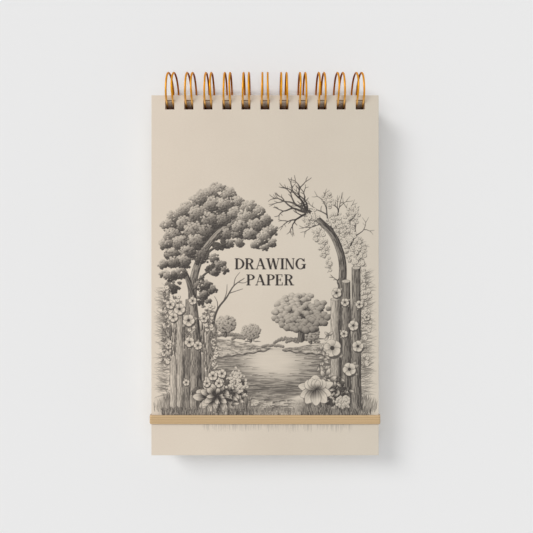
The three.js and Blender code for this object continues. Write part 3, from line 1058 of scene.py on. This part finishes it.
# each capital's width and strokes
CAPITALS = {
    "I": (STEM + 2 * SERIF, [("upright", SERIF)]),
    "D": (0.89, [
        ("upright", SERIF), ("bowl", SERIF + 0.9 * STEM, 0.5, 0.62, 0.5, HAIR, right_of_stem),
    ]),
    "P": (0.74, P_STROKES),
    "R": (0.92, [*P_STROKES, ("slant", 0.46, 0.5, 0.72, 0, STEM), ("foot", 0.72 - STEM / 2, STEM)]),
    "E": (0.76, [
        ("upright", SERIF), ("bar", SERIF, 0, 0.68, HAIR), ("bar", SERIF, 0.47, 0.52, 0.47 + HAIR),
        ("bar", SERIF, 0.94, 0.65, 0.94 + HAIR), ("bar", 0.68 - HAIR, 0, 0.68, 0.26),
        ("bar", 0.65 - HAIR, 0.76, 0.65, 1), ("bar", 0.52 - HAIR, 0.38, 0.52, 0.62),
    ]),
    "A": (0.97, [
        ("slant", 0.12, 0, 0.44, 1, 1.1 * HAIR), ("slant", 0.44, 1, 0.80, 0, STEM),
        ("bar", 0.24, 0.3, 0.66, 0.3 + HAIR), ("foot", 0.10, HAIR), ("foot", 0.80 - STEM / 2, STEM),
    ]),
    "N": (0.74 + HAIR + SERIF, [
        ("upright", 1.2 * SERIF, 1.2 * HAIR), ("slant", SERIF + 0.35 * STEM, 1, 0.72, 0, STEM),
        ("bar", 0.74, 0, 0.74 + 1.2 * HAIR, 1), ("foot", 0.74, HAIR, 1),
    ]),
    "W": (1.22, [
        ("slant", 0.12, 1, 0.38, 0, STEM), ("slant", 0.38, 0, 0.60, 1, 1.1 * HAIR),
        ("slant", 0.60, 1, 0.86, 0, STEM), ("slant", 0.86, 0, 1.10, 1, 1.1 * HAIR),
        ("foot", 0.12 - STEM / 2, STEM, 1), ("foot", 1.10 - HAIR / 2, HAIR, 1),
    ]),
    "G": (1.0, [
        ("bowl", 0.5, 0.5, 0.46, 0.51, 1.2 * HAIR, open_to_the_right),
        ("bar", 0.74, 0.06, 0.74 + STEM, 0.44),
        ("bar", 0.62, 0.42, 0.74 + STEM + 0.6 * SERIF, 0.42 + HAIR),
        ("bar", 0.88 - HAIR, 0.68, 0.88, 0.98),
    ]),
}


def write(d, text, middle, foot, height, space):
    """A word in roman capitals, `space` of their height apart."""
    widths = [CAPITALS[c][0] * height for c in text]
    x = middle - (sum(widths) + space * height * (len(text) - 1)) / 2
    for c, width in zip(text, widths):
        capital = Capital(d, x, foot, height)
        for stroke, *sizes in CAPITALS[c][1]:
            getattr(capital, stroke)(*sizes)
        x += width + space * height


DRAWING_HEIGHT, DRAWING_STEP, DRAWING_SEED = 190, 0.25, 7
TITLE_MIDDLE, TITLE_HEIGHT = 79.3, 7.3


def make_drawing():
    d = Drawing(COVER_WIDTH, DRAWING_HEIGHT, DRAWING_STEP, DRAWING_SEED)
    draw_pond(d)
    draw_round_tree(d, 49.5, 87.5, 6.4, 3.4, 1.0)
    draw_round_tree(d, 66.3, 82.3, 5.6, 2.4, 0.9, 1.15)
    draw_round_tree(d, 106.5, 80.5, 5.0, 2.2, 1.2)
    draw_round_tree(d, 100, 95, 14.0, 7.6, 2.2, 1.32, 0.92)
    draw_ground(d)
    draw_left_trunks(d)
    draw_left_tree(d)
    draw_right_tree(d)
    draw_climbers(d)
    draw_left_bush(d)
    draw_right_bloom(d)
    for left, right, count, tones in (
        (7, 68, 420, (0.25, 0.97)), (66, 102, 190, (0.2, 0.7)), (100, 146, 330, (0.25, 0.97)),
    ):
        d.grass(left, right, 26, 6.5, count, tones, 0.5)
    write(d, "DRAWING", TITLE_MIDDLE, 124.0, TITLE_HEIGHT, 0.04)
    write(d, "PAPER", TITLE_MIDDLE, 113.3, TITLE_HEIGHT, 0.06)
    # tones so far are as the eye sees them; the ink is how much light they take
    d.ink = (1 - (1 - 0.8 * d.ink) ** 2.2) / 0.971
    return d


PRINT_PROUD = 0.012  # how far the ink stands off the cover
FAINTEST_INK = 0.012
DRAWING_STRIPS = 4


def add_drawing():
    """The ink: fine squares on the front cover, wherever the pencil left anything."""
    ink, step = make_drawing().ink, DRAWING_STEP
    rows, columns = ink.shape
    upper, lower = np.maximum(ink[1:, 1:], ink[1:, :-1]), np.maximum(ink[:-1, 1:], ink[:-1, :-1])
    inked = np.maximum(upper, lower) > FAINTEST_INK
    matrix = np.array(BOOK)
    for strip in range(DRAWING_STRIPS):
        first, last = (columns * k // DRAWING_STRIPS for k in (strip, strip + 1))
        row, column = np.nonzero(inked[:, first:last])
        corner = row * columns + column + first
        corners = np.stack([corner, corner + 1, corner + columns + 1, corner + columns], axis=1)
        used, faces = np.unique(corners, return_inverse=True)
        places = np.stack([
            used % columns * step - COVER_HALF, used // columns * step + COVER_FOOT,
            np.full(len(used), STACK_HALF + PRINT_PROUD), np.ones(len(used)),
        ])
        mesh = bpy.data.meshes.new("drawing")
        mesh.from_pydata((matrix @ places)[:3].T.tolist(), [], faces.reshape(-1, 4).tolist())
        mesh.attributes.new("ink", "FLOAT", "POINT").data.foreach_set("value", ink.ravel()[used])
        mesh.materials.append(INKED)
        piece = placed(f"front_cover_drawing_{strip + 1}", mesh)
        belongs(piece, "front_cover", "cover_print")


# -- The wire: one length bent into eleven double loops -------------------------------------------
def on_ring(x, degrees):
    """A point of the wire, from its place across the book and its angle round the rings' axis."""
    angle = math.radians(degrees)
    return Vector((x, RING_RADIUS * math.cos(angle), RING_RADIUS * math.sin(angle)))


def spread(degrees):
    """Half the distance between a loop's strands: wide in the holes, narrower outside the book."""
    return BACK_SPREAD + (FRONT_SPREAD - BACK_SPREAD) * fade(degrees, 70, 125)


def half_loop(strand_steps=72, corner_steps=6, tip_steps=10):
    """From a bar to the closed end: x from the loop's middle, and degrees round the rings."""
    per_degree = math.radians(RING_RADIUS)  # of the wire's length
    places = []
    for step in range(corner_steps + 1):
        turn = math.pi / 2 * step / corner_steps
        across, along = CORNER_RADIUS * (1 - math.sin(turn)), CORNER_RADIUS * (1 - math.cos(turn))
        places.append((-FRONT_SPREAD - across, BAR_ANGLE - along / per_degree))
    start, end = places[-1][1], TIP_ANGLE + BACK_SPREAD / per_degree
    for step in range(1, strand_steps):
        degrees = start + (end - start) * step / strand_steps
        places.append((-spread(degrees), degrees))
    for step in range(tip_steps):
        turn = math.pi / 2 * step / tip_steps
        across, along = BACK_SPREAD * math.cos(turn), BACK_SPREAD * math.sin(turn)
        places.append((-across, end - along / per_degree))
    return places


def wire_points():
    half = half_loop()
    loop = half + [(0, TIP_ANGLE)] + [(-x, degrees) for x, degrees in reversed(half)]
    points = [on_ring(loop_x(k) + x, degrees) for k in range(LOOPS) for x, degrees in loop]
    stub = Vector((STUB_LENGTH, 0, 0))
    return [points[0] - stub] + points + [points[-1] + stub]


def sweep(points, section):
    """Carries a section, a list of (out, side) pairs, along points without twisting it."""
    ends = [points[0], *points, points[-1]]
    tangents = [(after - before).normalized() for before, after in zip(ends, ends[2:])]
    normal = tangents[0].orthogonal().normalized()
    swept = []
    for point, tangent in zip(points, tangents):
        normal = (normal - tangent * normal.dot(tangent)).normalized()
        side = tangent.cross(normal)
        swept += [point + normal * a + side * b for a, b in section]
    wide, faces = len(section), []
    for a in range(0, len(swept) - wide, wide):
        for j in range(wide):
            k = (j + 1) % wide
            faces.append((a + j, a + k, a + wide + k, a + wide + j))
    faces.append(tuple(reversed(range(wide))))
    faces.append(tuple(range(len(swept) - wide, len(swept))))
    return swept, faces


def round_section(radius, sides):
    turns = [TURN * k / sides for k in range(sides)]
    return [(radius * math.cos(t), radius * math.sin(t)) for t in turns]


def add_wire():
    points, faces = sweep(wire_points(), round_section(WIRE_RADIUS, WIRE_SIDES))
    piece = new_piece("wire_loops", points, faces, (WIRE,), smooth=True)
    belongs(piece, "back_cover", "gold_wire", "wire_binding")


# -- The elastic band -----------------------------------------------------------------------------
BAND_STEP = 1.5


def band_outline(out, corner, corner_steps=8):
    """Points (x, z) and outward directions round the closed book, `out` from the covers."""
    half_x, half_z = COVER_HALF + out - corner, STACK_HALF + out - corner
    found = []
    corners = [(half_x, half_z), (-half_x, half_z), (-half_x, -half_z), (half_x, -half_z)]
    for quarter, (x, z) in enumerate(corners):
        for step in range(corner_steps + 1):
            turn = math.pi / 2 * (quarter + step / corner_steps)
            way = (math.cos(turn), math.sin(turn))
            found.append(((x + corner * way[0], z + corner * way[1]), way))
        start = found[-1][0]
        next_x, next_z = corners[(quarter + 1) % 4]
        end = (next_x + corner * way[0], next_z + corner * way[1])
        steps = max(2, int(math.dist(start, end) / BAND_STEP))
        for t in (step / steps for step in range(1, steps)):
            found.append((tuple(a + (b - a) * t for a, b in zip(start, end)), way))
    return found


def add_band(across_steps=40):
    """The band's outer face is drawn into lengthwise ribs, one over each rubber thread."""
    centre_out = BAND_CLEARANCE + BAND_THICKNESS / 2
    outline = band_outline(centre_out, BAND_CORNER + BAND_THICKNESS / 2)
    section = []
    for side in (1, -1):
        for step in range(across_steps + 1):
            t = step / across_steps
            t = t if side > 0 else 1 - t
            rib = abs(math.sin(math.pi * BAND_RIBS * t)) ** 0.6
            edge = min(1, 6 * min(t, 1 - t)) ** 0.5
            thick = BAND_THICKNESS / 2 * (0.55 * edge + 0.30 + 0.15 * rib)
            section.append((side * thick, BAND_WIDTH * t))
    points, wide = [], len(section)
    for (x, z), way in outline:
        for out, along in section:
            points.append((x + way[0] * out, BAND_NEAR + along, z + way[1] * out))
    faces = []
    for i in range(len(outline)):
        a, b = i * wide, (i + 1) % len(outline) * wide
        for j in range(wide):
            k = (j + 1) % wide
            faces.append((a + j, b + j, b + k, a + k))
    piece = new_piece("elastic_loop", points, faces, (ELASTIC,), smooth=True)
    belongs(piece, "elastic_band", "elastic", "elastic_band")


# -- Floor, light and camera ----------------------------------------------------------------------
FLOOR_HALF = 20.0  # metres


def add_floor():
    n = Nodes("studio_floor")
    floor = n.finish((0.85, 0.85, 0.85), 1.0, Specular_IOR_Level=0.0)
    mesh = bpy.data.meshes.new("floor")
    corners = [(x * FLOOR_HALF, y * FLOOR_HALF, 0) for x, y in ((-1, -1), (1, -1), (1, 1), (-1, 1))]
    mesh.from_pydata(corners, [], [(0, 1, 2, 3)])
    mesh.materials.append(floor)
    placed("floor", mesh)


SKY = ((0.25, 0.81), (0.60, 0.22))  # the sine of the height over the floor, and the light there


def add_light():
    scene = bpy.context.scene
    scene.view_settings.view_transform = "Standard"
    world = bpy.data.worlds.new("studio")
    scene.world = world
    world.use_nodes = True
    nodes, links = world.node_tree.nodes, world.node_tree.links
    split = nodes.new("ShaderNodeSeparateXYZ")
    links.new(nodes.new("ShaderNodeTexCoord").outputs["Generated"], split.inputs[0])
    glow = nodes.new("ShaderNodeValToRGB")
    for element, (height, level) in zip(glow.color_ramp.elements, SKY):
        element.position = height
        element.color = (level, level, level, 1)
    links.new(split.outputs[2], glow.inputs["Fac"])
    links.new(glow.outputs["Color"], nodes["Background"].inputs["Color"])
    for name, strength, width, towards in (
        ("key", 1.45, 25, (1.04, -0.80, -1)),
        ("overhead", 1.10, 72, (0, 0, -1)),
    ):
        light = bpy.data.lights.new(name, "SUN")
        light.energy, light.angle = strength, math.radians(width)
        lamp = placed(name, light)
        lamp.rotation_euler = Vector(towards).to_track_quat("-Z", "Y").to_euler()


CAMERA_HEIGHT = 315.0  # above the front cover
CAMERA_X, CAMERA_Y = 0.99, -118.75
CAMERA_LENS, CAMERA_SENSOR = 31.92, 36


def add_camera():
    data = bpy.data.cameras.new("camera")
    data.lens, data.sensor_width = CAMERA_LENS, CAMERA_SENSOR
    data.clip_start, data.clip_end = 0.01, 50
    camera = placed("camera", data)
    turn = BOOK.to_3x3().normalized().to_4x4()
    place = BOOK @ Vector((CAMERA_X, CAMERA_Y, STACK_HALF + CAMERA_HEIGHT))
    camera.matrix_world = Matrix.Translation(place) @ turn
    bpy.context.scene.camera = camera


add_camera()
add_covers()
add_drawing()
add_leaves()
add_wire()
add_band()
add_floor()
add_light()
